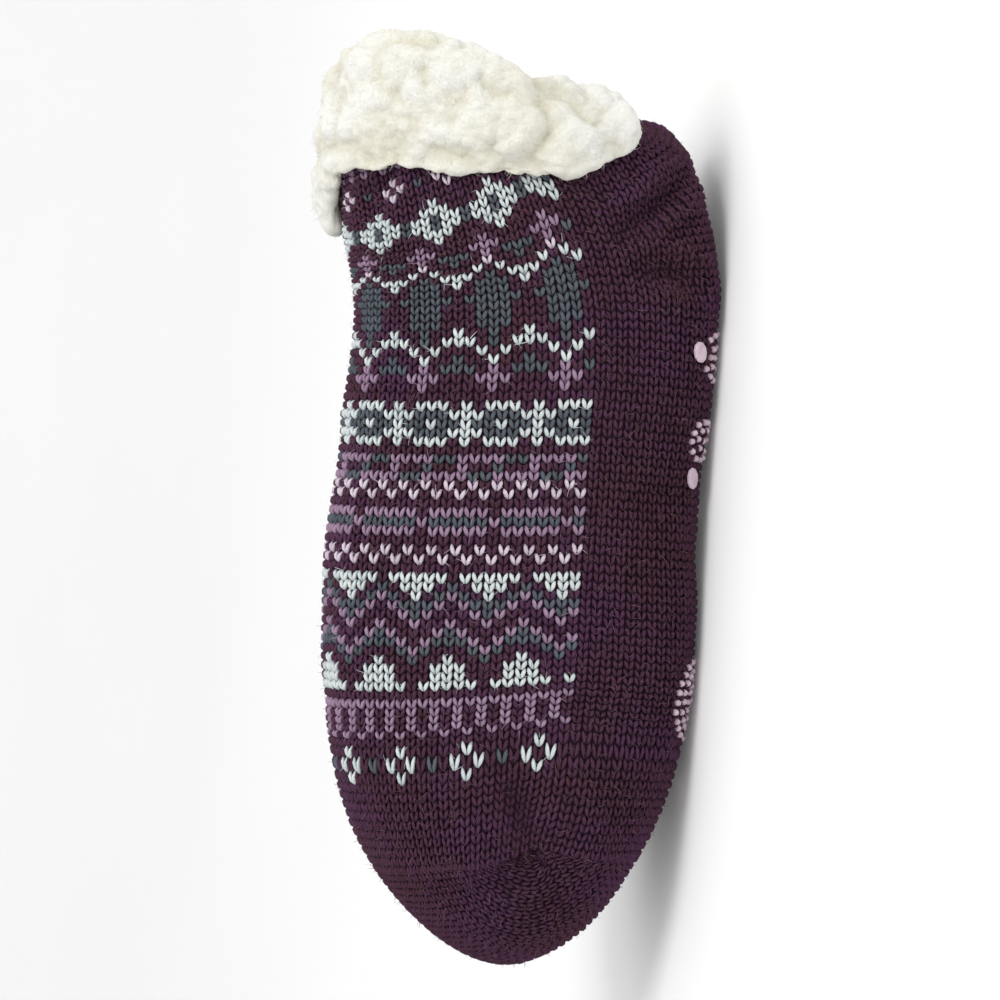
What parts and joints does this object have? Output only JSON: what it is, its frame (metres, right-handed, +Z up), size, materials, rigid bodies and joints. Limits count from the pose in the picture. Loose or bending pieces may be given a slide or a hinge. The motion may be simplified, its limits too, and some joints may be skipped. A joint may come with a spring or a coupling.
{
  "type": "slipper sock",
  "caption": "Chunky knitted slipper sock with a patterned instep, a plain sole with raised grip dots, and a turned-down fleece cuff round its slack mouth.",
  "frame": {"origin": "on the floor, under the middle of the sock's length and width, at the underside of the grip dots it stands on", "axes": "+X towards the toe, +Y to the sock's left side, which the picture shows, +Z up"},
  "size_m": [0.2478, 0.078, 0.1128],
  "materials": {
    "plum_knit": "chunky matte knit with a patterned instep",
    "cream_fleece": "curled sherpa pile",
    "pink_silicone": "satin printed silicone"
  },
  "bodies": {
    "root": {"knit_sock": "plum_knit", "sherpa_cuff": "cream_fleece", "grip_dot_01": "pink_silicone", "grip_dot_02": "pink_silicone", "grip_dot_03": "pink_silicone", "grip_dot_04": "pink_silicone", "grip_dot_05": "pink_silicone", "grip_dot_06": "pink_silicone", "grip_dot_07": "pink_silicone", "grip_dot_08": "pink_silicone", "grip_dot_09": "pink_silicone", "grip_dot_10": "pink_silicone", "grip_dot_11": "pink_silicone", "grip_dot_12": "pink_silicone", "grip_dot_13": "pink_silicone", "grip_dot_14": "pink_silicone", "grip_dot_15": "pink_silicone", "grip_dot_16": "pink_silicone"}
  },
  "joints": []
}
